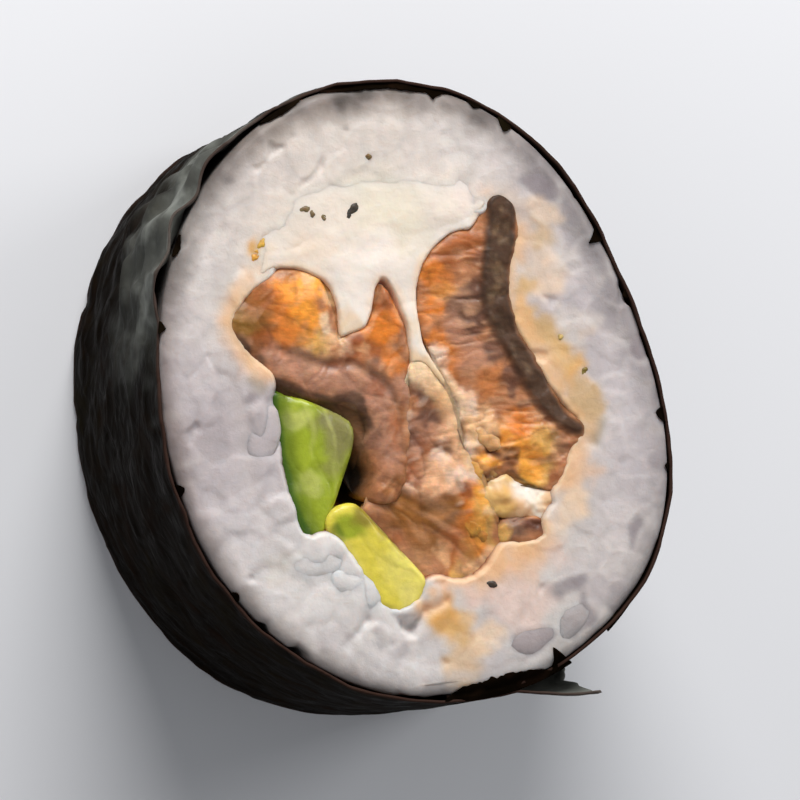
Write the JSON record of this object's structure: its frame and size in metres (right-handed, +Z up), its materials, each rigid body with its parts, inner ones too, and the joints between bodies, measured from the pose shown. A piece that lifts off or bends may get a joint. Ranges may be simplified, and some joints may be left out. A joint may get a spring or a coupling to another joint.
{
  "type": "maki sushi roll",
  "caption": "Thick maki sushi piece standing on a cut end: nori round rice, with eel, cucumber and cream cheese showing at the cut.",
  "frame": {"origin": "centre of the footprint, on the surface that the piece stands on", "axes": "+Z up along the roll, +Y along the long axis of the oval cut end, +X along its short axis"},
  "size_m": [0.0372, 0.0438, 0.031],
  "materials": {
    "nori": "dry, slightly glossy on its creases",
    "rice": "moist, slightly translucent",
    "cream_cheese": "soft, satin",
    "eel": "glazed, moist",
    "cucumber": "wet, translucent"
  },
  "bodies": {
    "root": {"nori_sheet": "nori", "rice": "rice", "cream_cheese": "cream_cheese", "cheese_crumb": "cream_cheese", "eel_left": "eel", "eel_middle": "eel", "eel_right": "eel", "eel_crumb": "eel", "cucumber_left": "cucumber", "cucumber_right": "cucumber"}
  },
  "joints": []
}
